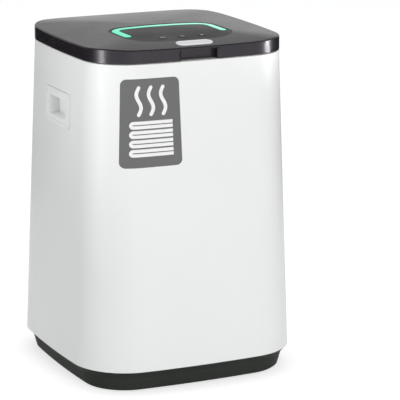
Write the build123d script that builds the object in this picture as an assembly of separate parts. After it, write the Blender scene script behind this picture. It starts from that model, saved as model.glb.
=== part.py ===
from build123d import *
from functools import lru_cache
import math
import os

# Towel warmer bucket, in millimetres. +Z is up, the front faces -Y, and the origin is at the bottom centre.

# Overall outline: a square with bowed sides and round corners, tapering to the top.
LID_EDGE_Z = 480.0
CROWN_RISE = 8.0
HIP_BLEND = 300.0
SIDE_BOW = 8.7
GAP = 0.3

# Outer shell.
SHELL_LOW_Z = 31.8
SHELL_HIGH_Z = 460.6
SHELL_LOW_HALF = 166.1
SHELL_HIGH_HALF = 148.8
SHELL_LOW_CORNER = 80.3
SHELL_WALL = 3.0
LEDGE_LOW_Z = 451.0
LEDGE_Z = 454.0
LEDGE_HALF = 119.5

# Inner bucket.
MOUTH_HALF = 118.0
MOUTH_CORNER = 46.0
WELL_FLOOR_HALF = 108.0
WELL_FLOOR_Z = 50.0
WELL_TOP_Z = 457.0
SHEET = 1.2
BUCKET_BEVEL = 8.0
FLANGE_HALF = 121.5

# Top rim.
RIM_HALF = 145.6
RIM_CORNER = 60.1
RIM_TOP_Z = 461.0
RIM_SKIN = 2.5
RIM_MOUTH_HALF = 117.6

# Base tray.
TRAY_LOW_Z = 1.5
TRAY_KNEE_Z = 22.0
TRAY_HIGH_Z = 31.0
TRAY_KNEE_HALF = 156.6
TRAY_HIGH_HALF = 164.6
TRAY_HIGH_CORNER = 76.5
TRAY_DRAFT = 0.27
TRAY_WALL = 2.5
TRAY_FLOOR_Z = 4.0
POST_XY = 121.0
FOOT_XY = 104.0
FOOT_R = 11.0

# Lid.
LID_LOW_Z = 461.9
LID_HALF = 150.0
LID_CORNER = 64.7
LID_WALL = 2.5
BRIM_BEVEL = 1.2
PANEL_LOW_Z = 462.4
PANEL_HIGH_Z = 464.4
PLUG_HALF = 115.5
PLUG_LOW_Z = 456.0

# Hinge at the back of the lid.
HINGE_Y = 156.8
HINGE_Z = 457.5
KNUCKLE_R = 5.0
PIN_R = 2.0
HINGE_X = 62.0
LID_KNUCKLE = 16.0
RIM_KNUCKLE = 7.6
CABLE_KNUCKLE = 14.0

# Front finger notch and power button.
NOTCH_HALF = 27.5
NOTCH_Y = -136.0
NOTCH_TOP_Z = 477.0
NOTCH_WALL = 2.0
PILL_Y = -130.0
PILL_LENGTH = 54.0
PILL_WIDTH = 19.0
PILL_LOW_Z = 480.3
PILL_FLOOR_Z = 478.6
PILL_FLOOR = 1.8
PILL_TRAVEL = 1.2
PEG_X = 18.0
PEG_Y = -123.5
BUTTON_BOARD_Z = 468.6
BUTTON_POST_X = 24.5

# Control panel, light bar and keys.
PANEL_HALF = 82.5
PANEL_FRONT_Y = -113.0
PANEL_BACK_Y = -1.0
PANEL_FRONT_CORNER = 45.0
PANEL_BACK_CORNER = 28.0
PANEL_TOP_DROP = 0.3
PANEL_THICK = 2.0
BAR_X = 72.5
BAR_Y = -11.5
BAR_TIP_Y = -75.5
BAR_WIDTH = 14.0
BAR_BEND = 18.0
KEY_Y = -91.0
KEY_PITCH = 29.5
KEY_R = 5.5
KEY_TRAVEL = 0.6
BOARD_Z = 473.0
BOARD_THICK = 1.5

# Side handles.
HANDLE_Z = 382.0
HANDLE_Y = -4.5
HANDLE_LENGTH = 91.0
HANDLE_HEIGHT = 50.0
HANDLE_CORNER = 8.0
GRIP_LENGTH = 55.0
GRIP_HEIGHT = 26.0
GRIP_DEPTH = 14.0

# Floor heater.
FLOOR_PATCH_X = 60.0
FUSE_Z = 43.6

# Cord gland in the back of the base tray.
GLAND_X = 80.0
GLAND_Z = 14.0
GLAND_BORE_R = 3.6
GLAND_SEAT_Y = 154.6


# ---------------------------------------------------------------- general forms

def plan(half, corner, z, bow=SIDE_BOW):
    """Horizontal outline: half is the half width at the middle of a side, corner the corner radius."""
    tip = half - bow
    tips = [(tip, -tip), (tip, tip), (-tip, tip), (-tip, -tip)]
    middles = [(half, 0), (0, half), (-half, 0), (0, -half)]
    sides = [ThreePointArc(tips[i], middles[i], tips[(i + 1) % 4]) for i in range(4)]
    outline = make_face(Curve() + sides)
    outline = fillet(outline.vertices(), corner)
    return Pos(0, 0, z) * outline.face()


def slab(half, corner, low, high):
    """Straight-sided block on the bowed outline."""
    return extrude(plan(half, corner, low), high - low)


def block(x0, x1, y0, y1, z0, z1):
    """Plain box between two corners."""
    return Pos((x0 + x1) / 2, (y0 + y1) / 2, (z0 + z1) / 2) * Box(x1 - x0, y1 - y0, z1 - z0)


def post(x, y, z0, z1, radius):
    """Upright cylinder."""
    return Pos(x, y, (z0 + z1) / 2) * Cylinder(radius, z1 - z0)


def cross_rod(x0, x1, y, z, radius):
    """Cylinder along X."""
    return Pos((x0 + x1) / 2, y, z) * Rot(0, 90, 0) * Cylinder(radius, x1 - x0)


def side_profile(face, x0, x1):
    """A face drawn with its own x along Y and its own y along Z, extruded from x0 to x1."""
    return Pos(x0, 0, 0) * extrude(Plane.YZ * face, x1 - x0)


def tube_along(points, radius, bends):
    """Round wire along straight runs joined by tangent arcs."""
    path = FilletPolyline(*points, radius=bends)
    start = Plane(origin=path @ 0, z_dir=path % 0)
    return sweep(start * Circle(radius), path=path)


def lowest_face(shape):
    return shape.faces().sort_by(Axis.Z)[0]


def corners(x, y):
    """The four points (+-x, +-y)."""
    return [(sx * x, sy * y) for sx in (-1, 1) for sy in (-1, 1)]


# ---------------------------------------------------------------- outlines of the main parts

def drawn_down(half, corner, high, steps):
    """Block whose outline draws in on its way down from high: steps lists each depth and how far it draws in."""
    outline = plan(half, corner, 0)
    upturned = []
    for depth, draw_in in steps:
        upturned.append(extrude(outline, depth, taper=math.degrees(math.atan2(draw_in, depth))))
        outline = upturned[-1].faces().sort_by(Axis.Z)[-1]
    return Pos(0, 0, high) * Rot(180, 0, 0) * sum(upturned[1:], upturned[0])


def shell_half(z):
    share = (z - SHELL_LOW_Z) / (SHELL_HIGH_Z - SHELL_LOW_Z)
    return SHELL_LOW_HALF + (SHELL_HIGH_HALF - SHELL_LOW_HALF) * share


def shell_block(low, high, inset=0.0):
    """The shell's tapering outline between two heights, drawn in by inset."""
    half = shell_half(low)
    corner = SHELL_LOW_CORNER + half - SHELL_LOW_HALF
    slope = math.degrees(math.atan2(half - shell_half(high), high - low))
    return extrude(plan(half - inset, corner - inset, low), high - low, taper=slope)


def well_draft(depth):
    return depth * (MOUTH_HALF - WELL_FLOOR_HALF) / (LEDGE_Z - WELL_FLOOR_Z)


def well_block(low, high, outset=0.0):
    """The well's outline between two heights, grown by outset."""
    depth = WELL_TOP_Z - low
    outline_top = MOUTH_HALF + well_draft(WELL_TOP_Z - LEDGE_Z) + outset
    whole = drawn_down(outline_top, outline_top - MOUTH_HALF + MOUTH_CORNER, WELL_TOP_Z, [(depth, well_draft(depth))])
    return whole & block(-200, 200, -200, 200, low, high)


@lru_cache
def roof(drop=0.0, blended=True):
    """Space under the crown: two shallow arches that cross, blended along their hips on the outside."""
    span = LID_HALF + 20
    radius = (LID_HALF ** 2 + CROWN_RISE ** 2) / (2 * CROWN_RISE)
    arch = Pos(0, 0, LID_EDGE_Z + CROWN_RISE - radius) * Rot(0, 90, 0) * Cylinder(radius, 3 * span)
    crossed = arch & (Rot(0, 0, 90) * arch) & block(-span, span, -span, span, LID_LOW_Z - 30, LID_EDGE_Z + 20)
    if blended:
        hips = [e for e in crossed.edges() if e.length > span and e.center().Z > LID_EDGE_Z]
        crossed = fillet(hips, HIP_BLEND)
    return Pos(0, 0, -drop) * crossed


def lid_block(inset=0.0, drop=0.0, low=LID_LOW_Z, blended=True):
    """Lid outline up to its crowned top, drawn in by inset and lowered by drop."""
    return slab(LID_HALF - inset, LID_CORNER - inset, low, LID_EDGE_Z + CROWN_RISE + 1) & roof(drop, blended)


def crown_layer(top_drop, bottom_drop):
    """The layer between two depths below the crowned top."""
    return roof(top_drop) - roof(bottom_drop, False)


def panel_region(grow=0.0):
    """The panel's outline, rounder at its front corners."""
    width = 2 * (PANEL_HALF + grow)
    length = PANEL_BACK_Y - PANEL_FRONT_Y + 2 * grow
    outline = Pos(0, (PANEL_BACK_Y + PANEL_FRONT_Y) / 2, 0) * Rectangle(width, length)
    ends = outline.vertices().sort_by(Axis.Y)
    outline = fillet(ends[:2], PANEL_FRONT_CORNER + grow)
    outline = fillet(outline.vertices().sort_by(Axis.Y)[-2:], PANEL_BACK_CORNER + grow)
    return Pos(0, 0, LID_LOW_Z) * extrude(outline, 40)


def bar_path():
    tip = BAR_TIP_Y + BAR_WIDTH / 2
    return FilletPolyline((-BAR_X, tip), (-BAR_X, BAR_Y), (BAR_X, BAR_Y), (BAR_X, tip), radius=BAR_BEND)


def bar_region(grow=0.0):
    width = BAR_WIDTH + 2 * grow
    outline = trace(bar_path(), width)
    for side in (-1, 1):
        outline += Pos(side * BAR_X, BAR_TIP_Y + BAR_WIDTH / 2, 0) * Circle(width / 2)
    return Pos(0, 0, LID_LOW_Z) * extrude(outline, 40)


def pill_region(grow, low, high):
    outline = Pos(0, PILL_Y, low) * SlotOverall(PILL_LENGTH + 2 * grow, PILL_WIDTH + 2 * grow)
    return extrude(outline, high - low)


def key_places():
    return [(step * KEY_PITCH, KEY_Y) for step in (-1, 0, 1)]


def rim_screw_places():
    return corners(133, 60)


def lid_screw_places():
    return corners(135, 55)


def board_post_places():
    return [(x, y) for x in (-84, 84) for y in (-98, 2)]


def power_post_places():
    return [(x, y) for x in (-50, 50) for y in (45, 115)]


# ---------------------------------------------------------------- hinge

def knuckle(x0, x1, seat_y, seat_low, seat_high):
    """Hinge eye with its arm, from the eye to an upright seat."""
    eye = Pos(HINGE_Y, HINGE_Z) * Circle(KNUCKLE_R)
    seat = Line((seat_y, seat_low), (seat_y, seat_high))
    return side_profile(make_hull(eye.edges() + seat.edges()), x0, x1)


def rim_knuckle_spans():
    inner = LID_KNUCKLE / 2 + 0.4
    spans = [(-CABLE_KNUCKLE, -GAP)]
    for side in (-1, 1):
        middle = side * HINGE_X
        spans.append((middle - inner - RIM_KNUCKLE, middle - inner))
        spans.append((middle + inner, middle + inner + RIM_KNUCKLE))
    return spans


def lid_knuckle_spans():
    spans = [(GAP, CABLE_KNUCKLE)]
    for side in (-1, 1):
        spans.append((side * HINGE_X - LID_KNUCKLE / 2, side * HINGE_X + LID_KNUCKLE / 2))
    return spans


def pin_reach():
    return LID_KNUCKLE / 2 + 0.4 + RIM_KNUCKLE


def pin_bores(radius):
    bores = []
    for side in (-1, 1):
        middle = side * HINGE_X
        bores.append(cross_rod(middle - pin_reach() - 1, middle + pin_reach() + 1, HINGE_Y, HINGE_Z, radius))
    return bores


def make_hinge_pins():
    pins = []
    for side in (-1, 1):
        middle = side * HINGE_X
        pins.append(cross_rod(middle - pin_reach(), middle + pin_reach(), HINGE_Y, HINGE_Z, PIN_R))
    return Compound(pins)


def main_harness(radius=2.0):
    x = -CABLE_KNUCKLE / 2
    points = [(x, 106, 18), (x, 137, 18), (x, 137, HINGE_Z), (x, HINGE_Y, HINGE_Z), (-0.15, HINGE_Y, HINGE_Z)]
    return tube_along(points, radius, [10, 8, 4])


def lid_harness(radius=1.5):
    x = CABLE_KNUCKLE / 2
    points = [(0.15, HINGE_Y, HINGE_Z), (x, HINGE_Y, HINGE_Z), (x, 150.5, 468.5), (x, 4, 468.5)]
    return tube_along(points, radius, [3, 8])


def cable_slot(x):
    """Way for the lid's cable through the arm of its knuckle."""
    spots = [(HINGE_Y, HINGE_Z), (150.5, 468.5), (140, 468.5)]
    rounds = [edge for y, z in spots for edge in (Pos(y, z) * Circle(2.2)).edges()]
    return side_profile(make_hull(rounds), x - 2.4, x + 2.2) + cross_rod(0, x + 2.2, HINGE_Y, HINGE_Z, 2.5)


# ---------------------------------------------------------------- body: shell, tray, bucket, rim

def handle_outline(side, length, height, corner):
    """Rounded rectangle on the left or right side, as a bar along X."""
    outline = Pos(HANDLE_Y, HANDLE_Z) * RectangleRounded(length, height, corner)
    if side < 0:
        return side_profile(outline, -200, -100)
    return side_profile(outline, 100, 200)


def corner_boss(sx, sy):
    """Screw boss inside a bottom corner of the shell, tied to the wall by a web."""
    boss = post(sx * POST_XY, sy * POST_XY, 34.0, 62.0, 5.0)
    web = Pos(sx * (POST_XY + 10), sy * (POST_XY + 10), 50.0) * Rot(0, 0, 45 * sx * sy) * Box(28, 2.4, 24)
    return boss + web


def make_outer_shell():
    body = shell_block(SHELL_LOW_Z, SHELL_HIGH_Z)
    body -= shell_block(SHELL_LOW_Z - 2, SHELL_HIGH_Z + 2, SHELL_WALL)
    ledge = shell_block(LEDGE_LOW_Z, LEDGE_Z, SHELL_WALL - 1)
    ledge -= slab(LEDGE_HALF, MOUTH_CORNER + 1.5, LEDGE_LOW_Z - 1, LEDGE_Z + 1)
    body += ledge
    inside = shell_block(SHELL_LOW_Z, SHELL_HIGH_Z, 1.0)
    for sx, sy in corners(1, 1):
        body += corner_boss(sx, sy) & inside
        body -= post(sx * POST_XY, sy * POST_XY, 33.0, 58.0, 1.9)
    for side in (-1, 1):
        rebate = handle_outline(side, HANDLE_LENGTH, HANDLE_HEIGHT, HANDLE_CORNER)
        body -= rebate - shell_block(SHELL_LOW_Z, SHELL_HIGH_Z, SHELL_WALL / 2)
        body -= handle_outline(side, GRIP_LENGTH + 5.0, GRIP_HEIGHT + 5.0, 4.0)
    for x, y in rim_screw_places():
        body -= post(x, y, LEDGE_LOW_Z - 1, LEDGE_Z + 1, 1.8)
    for x0, x1 in rim_knuckle_spans():
        body -= block(x0 - 0.4, x1 + 0.4, 140, 153, 452.0, SHELL_HIGH_Z + 1)
    body -= post(-CABLE_KNUCKLE / 2, 138, LEDGE_LOW_Z - 1, LEDGE_Z + 1, 4.5)
    return body


def tray_block(inset, low):
    """The tray's outline: a flare under the shell down to the knee, then a steep wall."""
    flare = (TRAY_HIGH_Z - TRAY_KNEE_Z, TRAY_HIGH_HALF - TRAY_KNEE_HALF)
    wall = (TRAY_KNEE_Z - low, TRAY_DRAFT * (TRAY_KNEE_Z - low))
    return drawn_down(TRAY_HIGH_HALF - inset, TRAY_HIGH_CORNER - inset, TRAY_HIGH_Z, [flare, wall])


def make_base_tray():
    outer = tray_block(0, TRAY_LOW_Z)
    outer = chamfer(lowest_face(outer).edges(), 2.0)
    body = outer - tray_block(TRAY_WALL, TRAY_FLOOR_Z)
    body += slab(162.0, 74.0, TRAY_HIGH_Z - 1.5, 37.0) - slab(160.0, 72.0, TRAY_HIGH_Z - 3, 38.0)
    for sx, sy in corners(1, 1):
        x, y = sx * POST_XY, sy * POST_XY
        body += post(x, y, TRAY_FLOOR_Z - 1, 34.0, 6.5)
        body -= post(x, y, 0, 24.0, 4.4)
        body -= post(x, y, 23.0, 35.0, 2.2)
        body -= post(sx * FOOT_XY, sy * FOOT_XY, 0, 2.7, FOOT_R + 0.2)
    for x, y in power_post_places():
        body += post(x, y, TRAY_FLOOR_Z - 1, 14.0, 3.5)
        body -= post(x, y, 6.0, 15.0, 1.35)
    for row in range(7):
        y = -42 + row * 9
        body -= block(-34, -6, y - 1.5, y + 1.5, 0, 5)
        body -= block(6, 34, y - 1.5, y + 1.5, 0, 5)
    body += block(GLAND_X - 11, GLAND_X + 11, GLAND_SEAT_Y - 7, GLAND_SEAT_Y, GLAND_Z - 10, GLAND_Z + 8)
    body -= block(GLAND_X - 6.6, GLAND_X + 6.6, 135, 160, GLAND_Z - 6.6, GLAND_Z + 6.6)
    return body


def make_rubber_feet():
    return Compound([post(x, y, 0, 2.6, FOOT_R) for x, y in corners(FOOT_XY, FOOT_XY)])


def bucket_form(outset):
    """The well with its bevelled bottom edge."""
    wall = WELL_TOP_Z - WELL_FLOOR_Z + outset - BUCKET_BEVEL
    steps = [(wall, well_draft(wall)), (BUCKET_BEVEL, BUCKET_BEVEL)]
    outline_top = MOUTH_HALF + well_draft(WELL_TOP_Z - LEDGE_Z) + outset
    return drawn_down(outline_top, outline_top - MOUTH_HALF + MOUTH_CORNER, WELL_TOP_Z, steps)


def make_inner_bucket():
    flange = slab(FLANGE_HALF, MOUTH_CORNER + 3.5, LEDGE_Z, LEDGE_Z + SHEET)
    return (bucket_form(SHEET) & block(-200, 200, -200, 200, 0, LEDGE_Z + SHEET)) + flange - bucket_form(0)


def rim_ring(outer_half, inner_half, low, high):
    outer = slab(outer_half, RIM_CORNER - (RIM_HALF - outer_half), low, high)
    inner_corner = MOUTH_CORNER + (inner_half - MOUTH_HALF)
    return outer - slab(inner_half, inner_corner, low - 1, high + 1)


def make_top_rim():
    skin_z = RIM_TOP_Z - RIM_SKIN
    body = rim_ring(RIM_HALF, RIM_MOUTH_HALF, skin_z, RIM_TOP_Z)
    top = body.faces().sort_by(Axis.Z)[-1]
    body = chamfer(top.inner_wires()[0].edges(), 1.2)
    outer_skirt = slab(RIM_HALF, RIM_CORNER, LEDGE_Z, skin_z)
    outer_skirt -= slab(RIM_HALF - 2.4, RIM_CORNER - 2.4, LEDGE_Z - 1, skin_z + 1)
    inner_skirt = slab(122.0, 46.0, LEDGE_Z + SHEET + 0.05, skin_z)
    inner_skirt -= slab(119.6, 43.6, LEDGE_Z, skin_z + 1)
    body += outer_skirt
    body += inner_skirt
    for x, y in rim_screw_places():
        body += post(x, y, LEDGE_Z, skin_z, 4.0)
        body -= post(x, y, LEDGE_Z - 1, RIM_TOP_Z - 1, 1.55)
    for x0, x1 in rim_knuckle_spans():
        body += knuckle(x0, x1, 141, LEDGE_Z + 0.2, RIM_TOP_Z)
    for bore in pin_bores(PIN_R + 0.02):
        body -= bore
    x = -CABLE_KNUCKLE / 2
    body -= cross_rod(x - 2.4, 0, HINGE_Y, HINGE_Z, 2.4)
    body -= block(x - 2.4, 0, 150, HINGE_Y, HINGE_Z - 2.4, HINGE_Z + 2.4)
    body -= block(x - 2.4, x + 2.4, 134.6, 151, HINGE_Z - 2.4, HINGE_Z + 2.4)
    body -= block(x - 2.4, x + 2.4, 134.6, 146, LEDGE_Z - 1, HINGE_Z)
    return body


# ---------------------------------------------------------------- heating and power

def make_heater_band():
    band = well_block(90, 330, SHEET + 1.0) - well_block(88, 332, SHEET + 0.08)
    seam = block(-2, 2, 100, 140, 80, 340)
    return band - seam


def make_insulation_jacket():
    return well_block(64, 440, SHEET + 6.8) - well_block(62, 442, SHEET + 1.3)


def make_floor_heater():
    """Flat silicone heater under the bucket, with a raised patch over its joints."""
    pad = Pos(0, 0, 46.9) * extrude(RectangleRounded(172, 172, 30), 1.8)
    patch = block(FLOOR_PATCH_X - 12, FLOOR_PATCH_X + 12, -18, 18, 43.9, 47.0)
    return pad + patch - post(0, 0, 40, 50, 9.5)


def make_thermostat():
    body = post(0, 0, 39.0, 46.4, 8.0)
    body += post(0, 0, 46.2, 48.6, 9.0)
    for x in (-4, 4):
        body += block(x - 1, x + 1, -3.2, 3.2, 33.0, 39.5)
    return body


def make_thermal_fuse():
    body = cross_rod(-7, 7, -34, FUSE_Z, 2.4)
    return body + cross_rod(-18, 18, -34, FUSE_Z, 0.6)


def make_fuse_clip():
    clip = block(-5, 5, -37.6, -30.4, FUSE_Z - 3.2, 46.85)
    clip -= cross_rod(-10, 10, -34, FUSE_Z, 2.5)
    return clip - block(-6, 6, -35.4, -32.6, FUSE_Z - 4, FUSE_Z)


def make_power_board():
    board = block(-56, 56, 39, 121, 14.0, 15.6)
    board = fillet(board.edges().filter_by(Axis.Z), 3.0)
    for x, y in power_post_places():
        board -= post(x, y, 13, 17, 1.7)
    return board


def make_transformer():
    core = block(-46, -16, 52, 78, 15.6, 33.6)
    coil = block(-42, -20, 48, 82, 17.0, 31.5)
    return fillet((core + coil).edges().filter_by(Axis.Z), 0.8)


def make_relay():
    case = block(-4, 15, 52, 68, 15.6, 31.2)
    return fillet(case.faces().sort_by(Axis.Z)[-1].edges(), 1.0)


def make_terminal_block():
    body = block(22, 48, 84, 96, 15.6, 28.6)
    for x in (28.5, 35, 41.5):
        body -= post(x, 90, 20, 30, 2.0)
        body -= block(x - 2.2, x + 2.2, 83, 85, 17, 22)
    return body


def make_filter_capacitor():
    return post(-34, 100, 15.6, 33.6, 6.5)


def make_heater_leads():
    """Two leads from the terminal block to the floor heater's patch."""
    leads = []
    for x, end_x in ((28.5, FLOOR_PATCH_X - 5), (35.0, FLOOR_PATCH_X + 5)):
        leads.append(tube_along([(x, 83.8, 19.5), (x, 76, 19.5), (end_x, 19.2, 45.2)], 1.1, 12))
    return Compound(leads)


# ---------------------------------------------------------------- handles, gland

def make_handle(side):
    """Recessed carrying handle: a raised frame that sits in the shell's rebate, with a grip cup behind it."""
    flange = handle_outline(side, HANDLE_LENGTH - 0.8, HANDLE_HEIGHT - 0.8, HANDLE_CORNER - 0.4)
    flange &= shell_block(SHELL_LOW_Z, SHELL_HIGH_Z, -0.8)
    flange -= shell_block(SHELL_LOW_Z, SHELL_HIGH_Z, SHELL_WALL / 2 - 0.05)
    dish = handle_outline(side, HANDLE_LENGTH - 10, HANDLE_HEIGHT - 10, HANDLE_CORNER - 4)
    flange -= dish - shell_block(SHELL_LOW_Z, SHELL_HIGH_Z, 0.1)
    cup = handle_outline(side, GRIP_LENGTH + 4.0, GRIP_HEIGHT + 4.0, 3.6)
    cup &= shell_block(SHELL_LOW_Z, SHELL_HIGH_Z, 0.1)
    cup -= shell_block(SHELL_LOW_Z, SHELL_HIGH_Z, GRIP_DEPTH + 2.0)
    hollow = handle_outline(side, GRIP_LENGTH, GRIP_HEIGHT, 1.6)
    hollow -= shell_block(SHELL_LOW_Z, SHELL_HIGH_Z, GRIP_DEPTH)
    return flange + cup - hollow


def make_cord_gland():
    body = block(GLAND_X - 6.4, GLAND_X + 6.4, 141, GLAND_SEAT_Y + 0.5, GLAND_Z - 6.4, GLAND_Z + 6.4)
    face = Plane(origin=(GLAND_X, GLAND_SEAT_Y, GLAND_Z), x_dir=(1, 0, 0), z_dir=(0, 1, 0))
    flange = extrude(face * RectangleRounded(19, 15.5, 4), 2.6)
    flange = chamfer(flange.faces().sort_by(Axis.Y)[-1].edges(), 1.0)
    lock = block(GLAND_X - 8.4, GLAND_X + 8.4, 143.5, GLAND_SEAT_Y - 7.05, GLAND_Z - 5, GLAND_Z + 5)
    bore = Pos(GLAND_X, 150, GLAND_Z) * Rot(90, 0, 0) * Cylinder(GLAND_BORE_R, 40)
    return body + flange + lock - bore


# ---------------------------------------------------------------- lid

def make_lid_cover():
    outer = lid_block()
    brim = [e for e in outer.edges() if e.center().Z > LID_EDGE_Z - 1 and e.center().X ** 2 + e.center().Y ** 2 > 120 ** 2]
    outer = chamfer(brim, BRIM_BEVEL)
    body = outer - lid_block(LID_WALL, LID_WALL, LID_LOW_Z - 1, False)
    inside = lid_block(1.0, 1.0, LID_LOW_Z, False)
    body += panel_region(8) & crown_layer(1.0, 5.0)
    body += pill_region(2.0, PILL_FLOOR_Z - PILL_FLOOR, 495) & inside
    notch_box = block(-NOTCH_HALF - 6, NOTCH_HALF + 6, -149, NOTCH_Y + NOTCH_WALL, LID_LOW_Z, NOTCH_TOP_Z + 2)
    body += notch_box & inside
    for x, y in lid_screw_places():
        body += post(x, y, PANEL_HIGH_Z + 0.05, 495, 4.5) & inside
        body -= post(x, y, LID_LOW_Z, 477.0, 1.55)
    for x, y in board_post_places():
        body += post(x, y, BOARD_Z + BOARD_THICK + 0.05, 495, 3.5) & inside
        body -= post(x, y, LID_LOW_Z, 480.0, 1.15)
    for x in (-BUTTON_POST_X, BUTTON_POST_X):
        body += post(x, PEG_Y, BUTTON_BOARD_Z + BOARD_THICK + 0.05, PILL_FLOOR_Z - 1, 2.8)
        body -= post(x, PEG_Y, BUTTON_BOARD_Z, PILL_FLOOR_Z - 1.4, 0.95)
    for x0, x1 in lid_knuckle_spans():
        body += knuckle(x0, x1, 146.5, 465.8, 474.0)
    for bore in pin_bores(PIN_R + 0.06):
        body -= bore
    x = CABLE_KNUCKLE / 2
    body -= cross_rod(0, x, HINGE_Y, HINGE_Z, 1.9)
    body -= cable_slot(x)
    body -= panel_region(0.25) - lid_block(0, PANEL_TOP_DROP + PANEL_THICK + 0.05)
    body -= panel_region(-9)
    body -= bar_region(1.8)
    body -= pill_region(0.4, PILL_FLOOR_Z, 495)
    body -= post(0, PEG_Y, 475, 480, 3.0)
    for x in (-PEG_X, PEG_X):
        body -= post(x, PEG_Y, 475, 480, 2.2)
    body -= notch_cut()
    return body


def notch_cut():
    """The notch under the front edge: a recess with a flared mouth."""
    height = NOTCH_TOP_Z - LID_LOW_Z + 10
    middle = NOTCH_TOP_Z - height / 2
    outer_y = -152.0
    back = Plane(origin=(0, NOTCH_Y, middle), x_dir=(1, 0, 0), z_dir=(0, -1, 0))
    outline = RectangleRounded(2 * NOTCH_HALF, height, 4.5)
    cut = extrude(back * outline, NOTCH_Y - outer_y)
    inner = back.offset(NOTCH_Y + 146.0) * outline
    mouth = back.offset(NOTCH_Y - outer_y) * RectangleRounded(2 * NOTCH_HALF + 12, height, 4.5)
    return cut + loft([inner.face(), mouth.face()])


def make_lid_inner_panel():
    plate = slab(LID_HALF - LID_WALL - 0.4, LID_CORNER - LID_WALL - 0.4, PANEL_LOW_Z, PANEL_HIGH_Z)
    plug = slab(PLUG_HALF, 40.0, PLUG_LOW_Z, PANEL_HIGH_Z)
    plug = chamfer(lowest_face(plug).edges(), 2.0)
    body = plate + plug - slab(PLUG_HALF - 2.0, 38.0, PLUG_LOW_Z + 2.0, PANEL_HIGH_Z + 1)
    body -= block(-NOTCH_HALF - 6.4, NOTCH_HALF + 6.4, -150, NOTCH_Y + NOTCH_WALL + 0.4, PANEL_LOW_Z - 1, PANEL_HIGH_Z + 1)
    for x, y in lid_screw_places():
        body -= post(x, y, PANEL_LOW_Z - 1, PANEL_HIGH_Z + 1, 1.75)
    return body


def make_lid_gasket():
    low = RIM_TOP_Z + GAP
    ring = slab(123.8, 47.8, low, PANEL_LOW_Z) - slab(118.8, 42.8, low - 1, PANEL_LOW_Z + 1)
    return ring


def make_control_panel():
    body = panel_region() & crown_layer(PANEL_TOP_DROP, PANEL_TOP_DROP + PANEL_THICK)
    body -= bar_region(0.3)
    for x, y in key_places():
        body -= post(x, y, 470, 495, KEY_R + 0.3)
    return body


def make_light_bar():
    top = bar_region() & roof(PANEL_TOP_DROP + 0.3)
    flange = bar_region(1.5) & roof(PANEL_TOP_DROP + PANEL_THICK + 0.1, False)
    return top + flange - roof(4.6, False)


def make_control_board():
    board = block(-89, 89, -104, 9, BOARD_Z, BOARD_Z + BOARD_THICK)
    board = fillet(board.edges().filter_by(Axis.Z), 6.0)
    for x, y in board_post_places():
        board -= post(x, y, BOARD_Z - 1, BOARD_Z + 3, 1.5)
    return board


def make_light_emitters():
    path = bar_path()
    count = 13
    top = BOARD_Z + BOARD_THICK
    emitters = []
    for index in range(count):
        spot = path @ (0.03 + 0.94 * index / (count - 1))
        emitters.append(block(spot.X - 1.75, spot.X + 1.75, spot.Y - 1.75, spot.Y + 1.75, top, top + 1.6))
    return Compound(emitters)


def make_key_switches():
    top = BOARD_Z + BOARD_THICK
    return Compound([
        block(x - 3, x + 3, y - 3, y + 3, top, top + 3.4) + post(x, y, top + 3.3, top + 4.5, 1.6)
        for x, y in key_places()
    ])


def make_key(x, y):
    cap = post(x, y, 482.0, 495, KEY_R) & lid_block(0, -0.1)
    flange = post(x, y, 480.9, 482.1, KEY_R + 1.3)
    stem = post(x, y, BOARD_Z + BOARD_THICK + 4.5 + GAP + KEY_TRAVEL, 481.0, 2.0)
    return cap + flange + stem


def make_power_button():
    """Pill-shaped button with its stem and two snap pegs."""
    body = pill_region(0, PILL_LOW_Z, 495) & lid_block(0, -0.8)
    switch_top = BUTTON_BOARD_Z + BOARD_THICK + 4.5
    body += post(0, PEG_Y, switch_top + GAP + PILL_TRAVEL, PILL_LOW_Z + 0.5, 2.6)
    for x in (-PEG_X, PEG_X):
        body += post(x, PEG_Y, 474.6, PILL_LOW_Z + 0.5, 1.8)
        body += post(x, PEG_Y, 474.6, 476.4, 2.9)
    return body


def make_button_board():
    board = block(-28.5, 28.5, PEG_Y - 7, PEG_Y + 7, BUTTON_BOARD_Z, BUTTON_BOARD_Z + BOARD_THICK)
    board = fillet(board.edges().filter_by(Axis.Z), 2.0)
    for x in (-BUTTON_POST_X, BUTTON_POST_X):
        board -= post(x, PEG_Y, BUTTON_BOARD_Z - 1, BUTTON_BOARD_Z + 3, 1.2)
    return board


def make_button_switch():
    top = BUTTON_BOARD_Z + BOARD_THICK
    return block(-3, 3, PEG_Y - 3, PEG_Y + 3, top, top + 3.4) + post(0, PEG_Y, top + 3.3, top + 4.5, 1.6)


def make_button_leads():
    """Lead between the two boards in the lid."""
    points = [(12, -98, 471.7), (12, -108, 471.7), (12, -113.5, 467.4), (12, -122, 467.4)]
    return tube_along(points, 1.0, [4, 4])


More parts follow.
